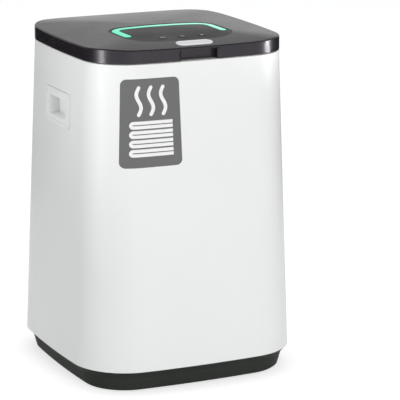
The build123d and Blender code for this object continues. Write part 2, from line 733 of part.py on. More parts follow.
NODES = {
    "outer_shell": make_outer_shell,
    "base_tray": make_base_tray,
    "rubber_feet": make_rubber_feet,
    "inner_bucket": make_inner_bucket,
    "top_rim": make_top_rim,
    "heater_band": make_heater_band,
    "insulation_jacket": make_insulation_jacket,
    "floor_heater": make_floor_heater,
    "thermostat": make_thermostat,
    "thermal_fuse": make_thermal_fuse,
    "fuse_clip": make_fuse_clip,
    "power_board": make_power_board,
    "transformer": make_transformer,
    "relay": make_relay,
    "terminal_block": make_terminal_block,
    "filter_capacitor": make_filter_capacitor,
    "heater_leads": make_heater_leads,
    "main_harness": main_harness,
    "handle_left": lambda: make_handle(-1),
    "handle_right": lambda: make_handle(1),
    "cord_gland": make_cord_gland,
    "hinge_pins": make_hinge_pins,
    "lid_cover": make_lid_cover,
    "lid_inner_panel": make_lid_inner_panel,
    "lid_gasket": make_lid_gasket,
    "control_panel": make_control_panel,
    "light_bar": make_light_bar,
    "control_board": make_control_board,
    "light_emitters": make_light_emitters,
    "key_switches": make_key_switches,
    "lid_harness": lid_harness,
    "button_board": make_button_board,
    "button_switch": make_button_switch,
    "button_leads": make_button_leads,
    "timer_key": lambda: make_key(*key_places()[0]),
    "heat_key": lambda: make_key(*key_places()[1]),
    "light_key": lambda: make_key(*key_places()[2]),
    "power_button": make_power_button,
}

os.makedirs("parts", exist_ok=True)
for name, make in NODES.items():
    export_step(make(), f"parts/{name}.step")
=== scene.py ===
"""Dressing of the towel warmer bucket: finishes, printed marks, label, small fasteners, stage and camera."""

import math

import bmesh
import bpy
from bpy.props import FloatProperty, FloatVectorProperty, IntProperty, PointerProperty
from mathutils import Matrix, Vector
from mathutils.bvhtree import BVHTree


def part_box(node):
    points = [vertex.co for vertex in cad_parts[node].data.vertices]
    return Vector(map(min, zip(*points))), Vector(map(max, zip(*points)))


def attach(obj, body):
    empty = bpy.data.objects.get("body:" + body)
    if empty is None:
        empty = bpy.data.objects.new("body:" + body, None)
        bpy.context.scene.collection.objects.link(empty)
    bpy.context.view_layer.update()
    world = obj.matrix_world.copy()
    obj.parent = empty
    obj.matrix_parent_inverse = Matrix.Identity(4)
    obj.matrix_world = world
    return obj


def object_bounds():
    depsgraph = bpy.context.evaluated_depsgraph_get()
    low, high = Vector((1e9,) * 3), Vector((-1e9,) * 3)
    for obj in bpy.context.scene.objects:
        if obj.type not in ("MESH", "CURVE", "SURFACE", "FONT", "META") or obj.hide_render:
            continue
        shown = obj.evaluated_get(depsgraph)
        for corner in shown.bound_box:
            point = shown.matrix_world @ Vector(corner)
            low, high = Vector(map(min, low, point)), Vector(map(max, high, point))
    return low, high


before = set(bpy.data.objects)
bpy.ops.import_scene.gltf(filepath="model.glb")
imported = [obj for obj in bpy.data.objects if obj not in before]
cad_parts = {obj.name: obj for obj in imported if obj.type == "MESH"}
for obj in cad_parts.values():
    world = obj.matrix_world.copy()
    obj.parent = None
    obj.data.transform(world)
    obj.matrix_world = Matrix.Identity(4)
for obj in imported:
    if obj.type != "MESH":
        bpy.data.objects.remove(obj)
CAD_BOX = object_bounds()

bl_info = {
    "name": "Towel Warmer Bucket Dressing",
    "version": (1, 0, 0),
    "blender": (4, 5, 0),
    "location": "View3D > Sidebar > Towel Warmer",
    "description": "Gives the packed towel warmer bucket its finishes, marks, fasteners and stage",
    "category": "Object",
}

MM = 0.001
LID_TOP = CAD_BOX[1][2]
CROWN_RADIUS = 1.41025
CONTACT_GAP = 0.00002  # left under a film or an ink that lies on a moulded part


def crown(x, y):
    """Height of the lid's crowned top: two shallow arches that cross, the lower one counting."""
    reach = max(abs(x), abs(y))
    return LID_TOP - CROWN_RADIUS + math.sqrt(CROWN_RADIUS ** 2 - reach ** 2)


# ---------------------------------------------------------------- sizes and colours that a user would change

def length_field(name, description, default):
    return FloatProperty(name=name, description=description, default=default, unit="LENGTH")


def colour_field(name, description, default):
    return FloatVectorProperty(
        name=name, description=description, default=default, subtype="COLOR", size=3, min=0, max=1)


class TowelWarmerSizes(bpy.types.PropertyGroup):
    """Sizes of the pieces that lie on the moulded parts"""

    label_width: length_field("Label width", "Width of the grey front label at its middle", 0.0858)
    label_height: length_field("Label height", "Height of the grey front label", 0.122)
    label_x: length_field("Label centre", "Sideways place of the label's middle", -0.0732)
    label_z: length_field("Label level", "Height of the label's middle above the floor", 0.3805)
    label_splay: FloatProperty(
        name="Label splay", description="Share by which the label is wider at its foot than at its head",
        default=0.0885)
    film: length_field("Film thickness", "Thickness of the label film", 0.00018)
    towels: IntProperty(name="Towels", description="Towels in the label's stack", default=4, min=1, max=6)
    towel_pitch: length_field("Towel pitch", "Height of one towel in the label's stack", 0.0128)
    bar_border: length_field("Light bar border", "Width of the green edge beside the lens", 0.0019)
    bar_bend: length_field("Light bar bend", "Radius of the light bar's two bends", 0.018)
    screw_head: length_field("Screw head", "Radius of the screw heads under the base", 0.0036)


class TowelWarmerColours(bpy.types.PropertyGroup):
    """Base colours of the finishes"""

    shell: colour_field("Shell", "White moulded shell", (0.815, 0.825, 0.815))
    base: colour_field("Base", "Dark base tray", (0.040, 0.044, 0.039))
    lid: colour_field("Lid", "Black lid cover", (0.011, 0.009, 0.012))
    panel: colour_field("Panel", "Dark film of the control panel", (0.013, 0.011, 0.014))
    light: colour_field("Light bar", "Mint light bar", (0.10, 0.80, 0.50))
    light_core: colour_field("Light bar core", "Brightest tint of the light bar", (0.45, 1.0, 0.80))
    # The light bar edge's dark green is partly the bezel's own tint and partly painted shade of the slot
    # beside the lens.
    light_edge_and_slot_shade: colour_field("Light bar edge", "Dark green edge beside the lens", (0.030, 0.230, 0.170))
    label: colour_field("Label", "Grey label", (0.146, 0.146, 0.146))
    button: colour_field("Button", "Silver power button", (0.88, 0.87, 0.89))


def sizes():
    return bpy.context.scene.towel_warmer_sizes


def colours():
    return bpy.context.scene.towel_warmer_colours


# ---------------------------------------------------------------- shader building blocks

class Finish:
    """A Principled material with a few nodes that read Object coordinates."""

    def __init__(self, name, colour, roughness, metallic=0.0, coat=0.0, specular=0.5):
        self.material = bpy.data.materials.new(name)
        self.material.use_nodes = True
        self.tree = self.material.node_tree
        self.shader = self.tree.nodes["Principled BSDF"]
        self.colour = colour
        self.roughness = roughness
        self.shader.inputs["Base Color"].default_value = (*colour, 1)
        self.shader.inputs["Roughness"].default_value = roughness
        self.shader.inputs["Metallic"].default_value = metallic
        self.shader.inputs["Coat Weight"].default_value = coat
        self.shader.inputs["Specular IOR Level"].default_value = specular
        self.place = self.tree.nodes.new("ShaderNodeTexCoord").outputs["Object"]

    def link(self, source, target):
        self.tree.links.new(source, target)

    def stretched(self, scale):
        """The place, scaled along each axis so that a noise looks drawn out."""
        node = self.tree.nodes.new("ShaderNodeMapping")
        node.inputs["Scale"].default_value = scale
        self.link(self.place, node.inputs["Vector"])
        return node.outputs["Vector"]

    def noise(self, grain, detail=2.0, place=None):
        """Noise whose grain is about this long, in metres."""
        node = self.tree.nodes.new("ShaderNodeTexNoise")
        node.inputs["Scale"].default_value = 1.0 / grain
        node.inputs["Detail"].default_value = detail
        self.link(place or self.place, node.inputs["Vector"])
        return node.outputs["Fac"]

    def between(self, factor, low, high, start=0.3, end=0.7):
        """The factor's range from start to end, spread over low to high."""
        node = self.tree.nodes.new("ShaderNodeMapRange")
        node.inputs["From Min"].default_value = start
        node.inputs["From Max"].default_value = end
        node.inputs["To Min"].default_value = low
        node.inputs["To Max"].default_value = high
        self.link(factor, node.inputs["Value"])
        return node.outputs["Result"]

    def mixed(self, factor, first, second):
        node = self.tree.nodes.new("ShaderNodeMix")
        node.data_type = "RGBA"
        node.inputs["A"].default_value = (*first, 1)
        node.inputs["B"].default_value = (*second, 1)
        self.link(factor, node.inputs["Factor"])
        return node.outputs["Result"]

    def cloud(self, grain, change):
        """Slight colour change over the surface."""
        darker = tuple(c * (1 - change) for c in self.colour)
        blend = self.mixed(self.between(self.noise(grain), 0, 1), darker, self.colour)
        self.link(blend, self.shader.inputs["Base Color"])

    def uneven(self, grain, change):
        """Roughness that changes by this much either way."""
        spread = self.between(self.noise(grain, 4), self.roughness - change, self.roughness + change)
        self.link(spread, self.shader.inputs["Roughness"])

    def relief(self, height, depth, edge=0.0):
        """Bump from a height socket, with rounded edges of this radius."""
        bump = self.tree.nodes.new("ShaderNodeBump")
        bump.inputs["Distance"].default_value = depth
        self.link(height, bump.inputs["Height"])
        if edge:
            bevel = self.tree.nodes.new("ShaderNodeBevel")
            bevel.samples = 6
            bevel.inputs["Radius"].default_value = edge
            self.link(bevel.outputs["Normal"], bump.inputs["Normal"])
        self.link(bump.outputs["Normal"], self.shader.inputs["Normal"])


# Lengths over which the colour and the shine of moulded plastic change.
CLOUD_GRAIN = 0.12
SHINE_GRAIN = 0.05


def moulded(name, colour, roughness, grain=0.0006, depth=0.00002, edge=0.0006, coat=0.0, change=0.03,
            spread=0.05):
    """Moulded plastic: fine grain, slight flow clouds and rounded edges."""
    finish = Finish(name, colour, roughness, coat=coat)
    finish.cloud(CLOUD_GRAIN, change)
    finish.uneven(SHINE_GRAIN, spread)
    finish.relief(finish.noise(grain, 3), depth, edge)
    return finish


def brushed(name, colour, roughness, scale):
    """Metal with drawn marks; a scale under 1 draws the marks out along that axis."""
    finish = Finish(name, colour, roughness, metallic=1.0)
    marks = finish.noise(0.002, 6, finish.stretched(scale))
    finish.link(finish.between(marks, roughness - 0.1, roughness + 0.14), finish.shader.inputs["Roughness"])
    darker = tuple(c * 0.86 for c in colour)
    finish.link(finish.mixed(finish.between(marks, 0, 1), darker, colour), finish.shader.inputs["Base Color"])
    finish.relief(marks, 0.00002, 0.0003)
    return finish


def rubbery(name, colour, roughness=0.75):
    """Rubber or silicone: dull, with a soft mottle."""
    finish = Finish(name, colour, roughness, specular=0.3)
    finish.cloud(0.02, 0.25)
    finish.uneven(0.01, 0.08)
    finish.relief(finish.noise(0.0008, 4), 0.00004, 0.0003)
    return finish


def felted():
    """Needled felt: short tangled fibres over soft clumps."""
    finish = Finish("insulation_felt", (0.62, 0.60, 0.55), 0.95, specular=0.15)
    finish.shader.inputs["Sheen Weight"].default_value = 0.3
    fibres = finish.noise(0.0012, 8, finish.stretched((1, 1, 0.25)))
    finish.link(finish.mixed(finish.between(fibres, 0, 1), (0.42, 0.40, 0.36), (0.70, 0.68, 0.62)),
                finish.shader.inputs["Base Color"])
    finish.relief(fibres, 0.0006)
    return finish


def circuit_board():
    """Green solder mask with a faint pattern of copper tracks."""
    finish = Finish("board_green", (0.02, 0.12, 0.05), 0.35, coat=0.3)
    tracks = finish.tree.nodes.new("ShaderNodeTexVoronoi")
    tracks.distance = "CHEBYCHEV"
    tracks.feature = "DISTANCE_TO_EDGE"
    tracks.inputs["Scale"].default_value = 180
    finish.link(finish.place, tracks.inputs["Vector"])
    lines = finish.between(tracks.outputs["Distance"], 1, 0, 0.02, 0.12)
    mask = finish.mixed(lines, (0.012, 0.09, 0.035), (0.04, 0.20, 0.08))
    finish.link(mask, finish.shader.inputs["Base Color"])
    finish.relief(lines, 0.00004, 0.0002)
    return finish


def light_lens():
    """Frosted lens that is lit from below, brightest along the back and the right arm."""
    dim, rim_painted_highlight = colours().light, colours().light_core
    dim_until, bright_from = -74 * MM, 35 * MM
    finish = Finish("light_lens", tuple(c * 0.6 for c in dim), 0.35, coat=0.2)
    split = finish.tree.nodes.new("ShaderNodeSeparateXYZ")
    finish.link(finish.place, split.inputs["Vector"])
    across = finish.between(split.outputs["X"], 0.0, 1.0, dim_until, bright_from)
    glow = finish.mixed(across, dim, rim_painted_highlight)
    finish.link(glow, finish.shader.inputs["Emission Color"])
    finish.shader.inputs["Emission Strength"].default_value = 0.62
    finish.relief(finish.noise(0.001, 3), 0.00002)
    return finish


def printed(name, colour, roughness):
    """Ink or film: flat colour with the faint mottle of a print."""
    finish = Finish(name, colour, roughness, specular=0.35)
    finish.cloud(0.004, 0.04)
    finish.uneven(0.01, 0.05)
    finish.relief(finish.noise(0.0005, 2), 0.000005)
    return finish


# ---------------------------------------------------------------- mesh building blocks

def link_object(name, mesh, material=None):
    """Puts a mesh into the scene as an object, with one material if it is given."""
    item = bpy.data.objects.new(name, mesh)
    bpy.context.collection.objects.link(item)
    if material:
        mesh.materials.clear()
        mesh.materials.append(material)
    return item


def dress(finish, *nodes):
    """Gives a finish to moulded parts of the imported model."""
    for node in nodes:
        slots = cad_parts[node].data.materials
        slots.clear()
        slots.append(finish.material)


def surface_of(node):
    """Ray-cast tree over a moulded part at rest."""
    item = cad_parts[node]
    points = [item.matrix_world @ v.co for v in item.data.vertices]
    return BVHTree.FromPolygons(points, [tuple(p.vertices) for p in item.data.polygons])


def arc(radius, start, end, steps=16):
    """Points on an arc round the origin, between two angles in degrees."""
    angles = [math.radians(start + (end - start) * i / steps) for i in range(steps + 1)]
    return [(radius * math.cos(a), radius * math.sin(a)) for a in angles]


def rounded_rectangle(x0, x1, y0, y1, radius, steps):
    """Outline of a rectangle with round corners of this many steps each."""
    spots = []
    middles = [(x1 - radius, y0 + radius), (x1 - radius, y1 - radius), (x0 + radius, y1 - radius),
               (x0 + radius, y0 + radius)]
    for quarter, (cx, cy) in enumerate(middles):
        for step in range(steps + 1):
            angle = math.radians(90 * (quarter - 1) + 90 * step / steps)
            spots.append((cx + radius * math.cos(angle), cy + radius * math.sin(angle)))
    return spots


def ribbon(path, width, steps=5):
    """Outline of a line of this width with round ends."""
    path = [Vector(p) for p in path]
    left, right = [], []
    for index, spot in enumerate(path):
        ahead = path[min(index + 1, len(path) - 1)] - path[max(index - 1, 0)]
        side = Vector((-ahead.y, ahead.x)).normalized() * width / 2
        left.append(spot + side)
        right.append(spot - side)

    def cap(centre, start):
        arm = start - centre
        return [centre + Matrix.Rotation(-math.pi * (i + 1) / (steps + 1), 2) @ arm for i in range(steps)]

    return [tuple(p) for p in left + cap(path[-1], left[-1]) + right[::-1] + cap(path[0], right[0])]


def flat_faces(outlines):
    """Mesh of one face for each outline, in the XY plane."""
    shape = bmesh.new()
    for outline in outlines:
        shape.faces.new([shape.verts.new((x, y, 0)) for x, y in outline])
    bmesh.ops.triangulate(shape, faces=shape.faces[:])
    return shape


def cut_in_grid(shape, step):
    """Cuts flat faces along a square grid, so that they can follow a curved surface."""
    for axis in (0, 1):
        low = min(v.co[axis] for v in shape.verts)
        high = max(v.co[axis] for v in shape.verts)
        normal = Vector((1, 0, 0)) if axis == 0 else Vector((0, 1, 0))
        for index in range(math.ceil(low / step), math.floor(high / step) + 1):
            geometry = shape.verts[:] + shape.edges[:] + shape.faces[:]
            bmesh.ops.bisect_plane(shape, geom=geometry, plane_co=normal * index * step, plane_no=normal)


def put_in_order(shape):
    """Numbers points and faces by their place, so that each run gives the same mesh."""
    centre = bmesh.types.BMFace.calc_center_median
    for items, place in ((shape.verts, lambda vert: vert.co), (shape.faces, centre)):
        for index, item in enumerate(sorted(items, key=lambda item: tuple(place(item)))):
            item.index = index
        items.sort()


def lay_on(name, shape, surface, place, direction, lift, thickness, material):
    """Projects a flat shape onto a surface: place turns (x, y) into the start of a ray in the direction."""
    direction = Vector(direction)
    for vert in shape.verts:
        hit = surface.ray_cast(place(vert.co.x, vert.co.y), direction)[0]
        if hit is None:
            raise RuntimeError(f"{name} hangs over the edge of its surface")
        vert.co = hit - direction * lift
    grown = bmesh.ops.extrude_face_region(shape, geom=shape.faces[:])
    for vert in [g for g in grown["geom"] if isinstance(g, bmesh.types.BMVert)]:
        vert.co -= direction * thickness
    bmesh.ops.recalc_face_normals(shape, faces=shape.faces[:])
    put_in_order(shape)
    mesh = bpy.data.meshes.new(name)
    shape.to_mesh(mesh)
    shape.free()
    return link_object(name, mesh, material)


def ringed_solid(name, rings, material, hollow=False):
    """Closed solid through rings of points that all have the same count; a hollow one ends where it began."""
    shape = bmesh.new()
    loops = [[shape.verts.new(p) for p in ring] for ring in rings]
    for low, high in zip(loops, loops[1:] + loops[:1] * hollow):
        for i in range(len(low)):
            j = (i + 1) % len(low)
            shape.faces.new((low[i], low[j], high[j], high[i]))
    if not hollow:
        shape.faces.new(loops[0][::-1])
        shape.faces.new(loops[-1])
    bmesh.ops.recalc_face_normals(shape, faces=shape.faces[:])
    for face in shape.faces:
        face.smooth = len(face.verts) == 4
    mesh = bpy.data.meshes.new(name)
    shape.to_mesh(mesh)
    shape.free()
    return link_object(name, mesh, material)


# ---------------------------------------------------------------- geometry node trees

class Tree:
    """A geometry node tree with named inputs that ends in Realize Instances and Set Material."""

    def __init__(self, name, inputs, material):
        self.group = bpy.data.node_groups.new(name, "GeometryNodeTree")
        self.group.interface.new_socket("Geometry", in_out="INPUT", socket_type="NodeSocketGeometry")
        for label, kind, value in inputs:
            socket = self.group.interface.new_socket(label, in_out="INPUT", socket_type=kind)
            socket.default_value = value
        self.group.interface.new_socket("Geometry", in_out="OUTPUT", socket_type="NodeSocketGeometry")
        self.entry = self.group.nodes.new("NodeGroupInput")
        self.exit = self.group.nodes.new("NodeGroupOutput")
        self.material = material

    def node(self, kind, links=(), **values):
        """Adds a node, links or sets its inputs and sets its options; returns its outputs."""
        made = self.group.nodes.new(kind)
        for key, value in values.items():
            setattr(made, key, value)
        for socket, source in dict(links).items():
            if isinstance(source, bpy.types.NodeSocket):
                self.group.links.new(source, made.inputs[socket])
            else:
                made.inputs[socket].default_value = source
        return made.outputs

    def math(self, operation, *terms):
        return self.node("ShaderNodeMath", enumerate(terms), operation=operation)["Value"]

    def rounded(self, curve, radius, count):
        """The curve with each corner turned into an arc of this many points."""
        links = {"Curve": curve, "Radius": radius, "Count": count}
        return self.node("GeometryNodeFilletCurve", links, mode="POLY")["Curve"]

    def close(self, geometry):
        """Ends the tree with this geometry."""
        realized = self.node("GeometryNodeRealizeInstances", {"Geometry": geometry})["Geometry"]
        painted = self.node("GeometryNodeSetMaterial", {"Geometry": realized, "Material": self.material})
        self.group.links.new(painted["Geometry"], self.exit.inputs["Geometry"])

    def grow(self, name, points, edges=(), faces=(), values=()):
        """Runs the tree on a small mesh and returns the result as a plain mesh object."""
        seed = bpy.data.meshes.new(name + "_seed")
        seed.from_pydata(points, edges, faces)
        carrier = link_object(name + "_seed", seed)
        modifier = carrier.modifiers.new("tree", "NODES")
        modifier.node_group = self.group
        named = {s.name: s.identifier for s in self.group.interface.items_tree if s.in_out == "INPUT"}
        for label, value in dict(values).items():
            modifier[named[label]] = value
        made = bpy.data.meshes.new_from_object(carrier.evaluated_get(bpy.context.evaluated_depsgraph_get()))
        bpy.data.objects.remove(carrier)
        made.name = name
        return link_object(name, made)


def screw_tree(material):
    """Cross-recessed screw heads that face down, one on each vertex."""
    foot_share, arm_share, recess_share = 0.72, 1.05, -0.35
    inputs = [("Head Radius", "NodeSocketFloat", 3.6 * MM), ("Head Height", "NodeSocketFloat", 2.2 * MM),
              ("Recess Width", "NodeSocketFloat", 0.9 * MM)]
    tree = Tree("screw_heads", inputs, material)
    radius, height, recess = (tree.entry.outputs[name] for name, _, _ in inputs)
    foot = tree.math("MULTIPLY", radius, foot_share)
    head = tree.node("GeometryNodeMeshCone", {
        "Vertices": 32, "Radius Top": radius, "Radius Bottom": foot, "Depth": height})["Mesh"]
    arm = tree.math("MULTIPLY", radius, arm_share)
    bars = []
    for first, second in ((arm, recess), (recess, arm)):
        size = tree.node("ShaderNodeCombineXYZ", {"X": first, "Y": second, "Z": height})["Vector"]
        cube = tree.node("GeometryNodeMeshCube", {"Size": size})["Mesh"]
        drop = tree.node("ShaderNodeCombineXYZ", {"Z": tree.math("MULTIPLY", height, recess_share)})["Vector"]
        bars.append(tree.node("GeometryNodeTransform", {"Geometry": cube, "Translation": drop})["Geometry"])
    cut = tree.group.nodes.new("GeometryNodeMeshBoolean")
    cut.operation = "DIFFERENCE"
    tree.group.links.new(head, cut.inputs["Mesh 1"])
    for bar in bars:
        tree.group.links.new(bar, cut.inputs["Mesh 2"])
    spots = tree.node("GeometryNodeMeshToPoints", {"Mesh": tree.entry.outputs["Geometry"]})["Points"]
    placed = tree.node("GeometryNodeInstanceOnPoints", {"Points": spots, "Instance": cut.outputs["Mesh"]})
    tree.close(placed["Instances"])
    return tree


def stack_tree(material):
    """Copies of a flat shape, one above the other."""
    tree = Tree("stack", [("Count", "NodeSocketInt", 4), ("Pitch", "NodeSocketFloat", 12.8 * MM)], material)
    shape, count, pitch = (tree.entry.outputs[name] for name in ("Geometry", "Count", "Pitch"))
    offset = tree.node("ShaderNodeCombineXYZ", {"Y": pitch})["Vector"]
    line = tree.node("GeometryNodeMeshLine", {"Count": count, "Offset": offset})["Mesh"]
    placed = tree.node("GeometryNodeInstanceOnPoints", {"Points": line, "Instance": shape})
    tree.close(placed["Instances"])
    return tree


def lens_tree(material):
    """A flat strip with soft edges and round ends, along a path with bends, laid on the lid's crown."""
    inputs = [("Width", "NodeSocketFloat", 10.2 * MM), ("Thickness", "NodeSocketFloat", 1.2 * MM),
              ("Bend", "NodeSocketFloat", 18 * MM), ("Edge", "NodeSocketFloat", 0.35 * MM),
              ("Top", "NodeSocketFloat", LID_TOP), ("Crown Radius", "NodeSocketFloat", CROWN_RADIUS)]
    bend_points, path_points, corner_points, least_share = 16, 320, 5, 0.02
    tree = Tree("lens", inputs, material)
    width, thickness, bend, edge, top, crown_radius = (tree.entry.outputs[name] for name, _, _ in inputs)

    # The path, and the share of the full width at each point of it: less than 1 only over the round ends.
    path = tree.node("GeometryNodeMeshToCurve", {"Mesh": tree.entry.outputs["Geometry"]})["Curve"]
    bent = tree.rounded(path, bend, bend_points)
    fine = tree.node("GeometryNodeResampleCurve", {"Curve": bent, "Count": path_points})["Curve"]
    along = tree.node("GeometryNodeSplineParameter")["Length"]
    whole = tree.node("GeometryNodeSplineLength")["Length"]
    from_end = tree.math("MINIMUM", along, tree.math("SUBTRACT", whole, along))
    inward = tree.math("MINIMUM", tree.math("DIVIDE", from_end, tree.math("MULTIPLY", width, 0.5)), 1.0)
    slimmer = tree.math("SUBTRACT", 1.0, inward)
    share = tree.math("SQRT", tree.math("SUBTRACT", 1.0, tree.math("MULTIPLY", slimmer, slimmer)))
    share = tree.math("MAXIMUM", share, least_share)

    # The section, whose own level is kept because the crown moves each point up or down.
    section = tree.node("GeometryNodeCurvePrimitiveQuadrilateral", {"Width": width, "Height": thickness})
    section = tree.rounded(section["Curve"], edge, corner_points)
    position = tree.node("GeometryNodeInputPosition")["Position"]
    level = tree.node("ShaderNodeSeparateXYZ", {"Vector": position})["Y"]
    kept = tree.group.nodes.new("GeometryNodeCaptureAttribute")
    kept.capture_items.new("FLOAT", "Level")
    tree.group.links.new(section, kept.inputs["Geometry"])
    tree.group.links.new(level, kept.inputs["Level"])
    body = tree.node("GeometryNodeCurveToMesh", {
        "Curve": fine, "Profile Curve": kept.outputs["Geometry"], "Scale": share, "Fill Caps": True})["Mesh"]

    # The crown: it falls by reach squared over twice its radius.
    place = tree.node("ShaderNodeSeparateXYZ", {"Vector": position})
    reach = tree.math("MAXIMUM", tree.math("ABSOLUTE", place["X"]), tree.math("ABSOLUTE", place["Y"]))
    fall = tree.math("DIVIDE", tree.math("MULTIPLY", reach, reach), tree.math("MULTIPLY", crown_radius, 2.0))
    height = tree.math("ADD", tree.math("SUBTRACT", top, fall),
                       tree.math("SUBTRACT", kept.outputs["Level"], tree.math("MULTIPLY", thickness, 0.5)))
    spot = tree.node("ShaderNodeCombineXYZ", {"X": place["X"], "Y": place["Y"], "Z": height})["Vector"]
    laid = tree.node("GeometryNodeSetPosition", {"Geometry": body, "Position": spot})["Geometry"]
    tree.close(tree.node("GeometryNodeSetShadeSmooth", {"Geometry": laid})["Geometry"])
    return tree


# ---------------------------------------------------------------- stage

EDGE_HEIGHT = 0.48  # of the lid's edge over the floor
CAMERA_YAW, CAMERA_PITCH, CAMERA_ROLL = -0.4392, 0.2444, 0.0044
CAMERA_LENS, SENSOR_WIDTH, CAMERA_REACH = 202.08, 36.0, 50
# The camera's distance, and the point it looks at, as shares of the edge height.
CAMERA_DISTANCE, AIM_SIDEWAYS, AIM_LEVEL = 6.7471, 0.1334, 0.4825

# Each light has a name, place, target, size, power, spread in degrees, and whether reflections show it.
LIGHTS = (
    ("key_softbox", (0.1, -3.0, 0.68), (0, 0, 0.2), (1.2, 1.2), 41, 180, False),
    ("fill_softbox", (-2.55, 0.75, 0.8), (0, 0, 0.25), (1.6, 1.6), 14, 180, False),
    ("top_softbox", (0.2, 0.4, 2.6), (0, 0, 0.3), (2.0, 2.0), 10, 180, False),
    ("left_strip", (-1.46, -0.30, 0.16), (-0.12, -0.12, 0.50), (0.25, 0.3), 0.095, 20, True),
    ("right_strip", (1.40, -0.60, 0.16), (0.13, -0.13, 0.53), (0.1, 0.1), 0.05, 8, True),
)

# Each dark card has a name and the two compass angles between which it stands, in degrees.
CARDS = (("left_card", 175, 95), ("right_card", -17, 50))
CARD_RADIUS, CARD_FOOT, CARD_HEAD, CARD_STEPS = 1.15, 0.002, 0.42, 12

# Strength of the world's light, and of the background that is seen: at the horizon, and from where a
# direction rises by the fade's end.
SOFT_LIGHT, SEEN_LOW, SEEN_HIGH, FADE_END = 0.57, 1.0, 0.36, 0.5
# The floor's reach to each side, its grey, and the glow that is added where it is seen directly.
FLOOR_REACH, FLOOR_GREY, FLOOR_GLOW = 6, 0.60, 0.63


def camera_axes(yaw, pitch, roll):
    """The camera's right, up and backward directions, in the world."""
    back = Vector((math.sin(yaw) * math.cos(pitch), -math.cos(yaw) * math.cos(pitch), math.sin(pitch)))
    right = Vector((math.cos(yaw), math.sin(yaw), 0))
    up = back.cross(right)
    return (right * math.cos(roll) + up * math.sin(roll), up * math.cos(roll) - right * math.sin(roll), back)


def add_area(name, place, target, size, power, spread, mirrored):
    """Area light that shines at a target; only a mirrored one shows in reflections."""
    lamp = bpy.data.lights.new(name, "AREA")
    lamp.shape = "RECTANGLE"
    lamp.size, lamp.size_y = size
    lamp.energy = power
    lamp.spread = math.radians(spread)
    holder = bpy.data.objects.new(name, lamp)
    holder.location = place
    holder.rotation_euler = (Vector(target) - Vector(place)).to_track_quat("-Z", "Y").to_euler()
    holder.visible_glossy = mirrored
    bpy.context.collection.objects.link(holder)


def add_floor(name, material):
    corners = [(x * FLOOR_REACH, y * FLOOR_REACH, 0) for x, y in ((-1, -1), (1, -1), (1, 1), (-1, 1))]
    mesh = bpy.data.meshes.new(name)
    mesh.from_pydata(corners, [], [(0, 1, 2, 3)])
    link_object(name, mesh, material)


def add_camera():
    data = bpy.data.cameras.new("product_camera")
    data.lens = CAMERA_LENS
    data.sensor_width = SENSOR_WIDTH
    data.clip_end = CAMERA_REACH
    camera = bpy.data.objects.new("product_camera", data)
    axes = camera_axes(CAMERA_YAW, CAMERA_PITCH, CAMERA_ROLL)
    sideways, level = AIM_SIDEWAYS * EDGE_HEIGHT, AIM_LEVEL * EDGE_HEIGHT
    target = Vector((sideways * math.cos(CAMERA_YAW), sideways * math.sin(CAMERA_YAW), level))
    turn = Matrix(axes).transposed().to_4x4()
    camera.matrix_world = Matrix.Translation(target + axes[2] * CAMERA_DISTANCE * EDGE_HEIGHT) @ turn
    bpy.context.collection.objects.link(camera)
    bpy.context.scene.camera = camera


def seen_directly(tree):
    """1 on camera, glossy and transmission rays, which show the background, and 0 on the rays that light."""
    path = tree.nodes.new("ShaderNodeLightPath")
    seen = path.outputs["Is Camera Ray"]
    for kind in ("Is Glossy Ray", "Is Transmission Ray"):
        either = tree.nodes.new("ShaderNodeMath")
        either.operation = "MAXIMUM"
        tree.links.new(seen, either.inputs[0])
        tree.links.new(path.outputs[kind], either.inputs[1])
        seen = either.outputs["Value"]
    return seen


def add_world():
    """Soft even light, with a plain background that is white at the horizon and greyer overhead."""
    world = bpy.data.worlds.new("studio")
    bpy.context.scene.world = world
    world.use_nodes = True
    tree = world.node_tree
    tree.nodes.clear()
    output = tree.nodes.new("ShaderNodeOutputWorld")
    soft = tree.nodes.new("ShaderNodeBackground")
    soft.inputs["Color"].default_value = (0.985, 0.99, 1, 1)
    soft.inputs["Strength"].default_value = SOFT_LIGHT
    seen = tree.nodes.new("ShaderNodeBackground")
    seen.inputs["Color"].default_value = (1, 1, 1, 1)
    height = tree.nodes.new("ShaderNodeSeparateXYZ")
    tree.links.new(tree.nodes.new("ShaderNodeTexCoord").outputs["Generated"], height.inputs["Vector"])
    fade = tree.nodes.new("ShaderNodeMapRange")
    fade.inputs["From Min"].default_value = 0.0
    fade.inputs["From Max"].default_value = FADE_END
    fade.inputs["To Min"].default_value = SEEN_LOW
    fade.inputs["To Max"].default_value = SEEN_HIGH
    tree.links.new(height.outputs["Z"], fade.inputs["Value"])
    tree.links.new(fade.outputs["Result"], seen.inputs["Strength"])
    mix = tree.nodes.new("ShaderNodeMixShader")
    tree.links.new(seen_directly(tree), mix.inputs["Fac"])
    tree.links.new(soft.outputs["Background"], mix.inputs[1])
    tree.links.new(seen.outputs["Background"], mix.inputs[2])
    tree.links.new(mix.outputs["Shader"], output.inputs["Surface"])


